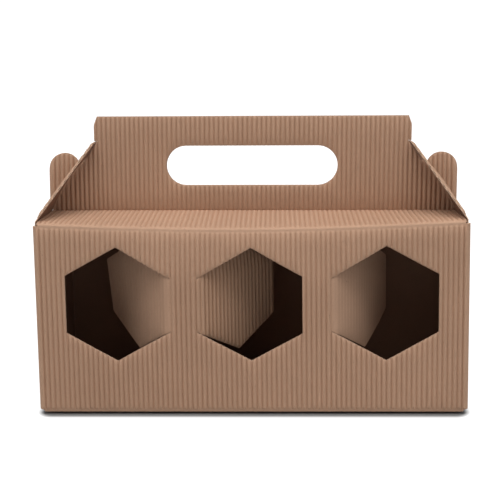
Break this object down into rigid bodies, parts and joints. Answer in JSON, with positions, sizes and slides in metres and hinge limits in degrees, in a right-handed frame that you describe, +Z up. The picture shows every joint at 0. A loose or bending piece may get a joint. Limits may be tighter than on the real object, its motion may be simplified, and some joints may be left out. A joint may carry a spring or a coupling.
{
  "type": "jar carry carton",
  "caption": "Folded open-flute cardboard carry carton for jars, with hexagonal windows whose flaps fold inward, side gussets hooked on rounded ears, and a double handle with a hand hole.",
  "frame": {"origin": "middle of the base, on the surface that the carton stands on", "axes": "+Z up, +X along the length, the front wall with the windows faces -Y"},
  "size_m": [0.26, 0.088, 0.1778],
  "materials": {
    "kraft_board": "uncoated brown kraft, matt"
  },
  "bodies": {
    "carton": {"carton": "kraft_board"},
    "gusset_left": {"gusset_left": "kraft_board"},
    "gusset_right": {"gusset_right": "kraft_board"},
    "window_flap_left": {"window_flap_left": "kraft_board"},
    "window_flap_middle": {"window_flap_middle": "kraft_board"},
    "window_flap_right": {"window_flap_right": "kraft_board"}
  },
  "joints": [
    {"name": "gusset_left_fold", "type": "hinge", "parent": "carton", "child": "gusset_left", "pos_m": [-0.12865, 0, 0.118], "axis": [0, -1, 0], "range_deg": [0, 120]},
    {"name": "gusset_right_fold", "type": "hinge", "parent": "carton", "child": "gusset_right", "pos_m": [0.12865, 0, 0.118], "axis": [0, 1, 0], "range_deg": [0, 120]},
    {"name": "window_flap_left_fold", "type": "hinge", "parent": "carton", "child": "window_flap_left", "pos_m": [-0.05081, -0.04265, 0], "axis": [0, 0, -1], "range_deg": [-46, 44]},
    {"name": "window_flap_middle_fold", "type": "hinge", "parent": "carton", "child": "window_flap_middle", "pos_m": [-0.03019, -0.04265, 0], "axis": [0, 0, 1], "range_deg": [-45, 45]},
    {"name": "window_flap_right_fold", "type": "hinge", "parent": "carton", "child": "window_flap_right", "pos_m": [0.05081, -0.04265, 0], "axis": [0, 0, 1], "range_deg": [-47, 43]}
  ]
}
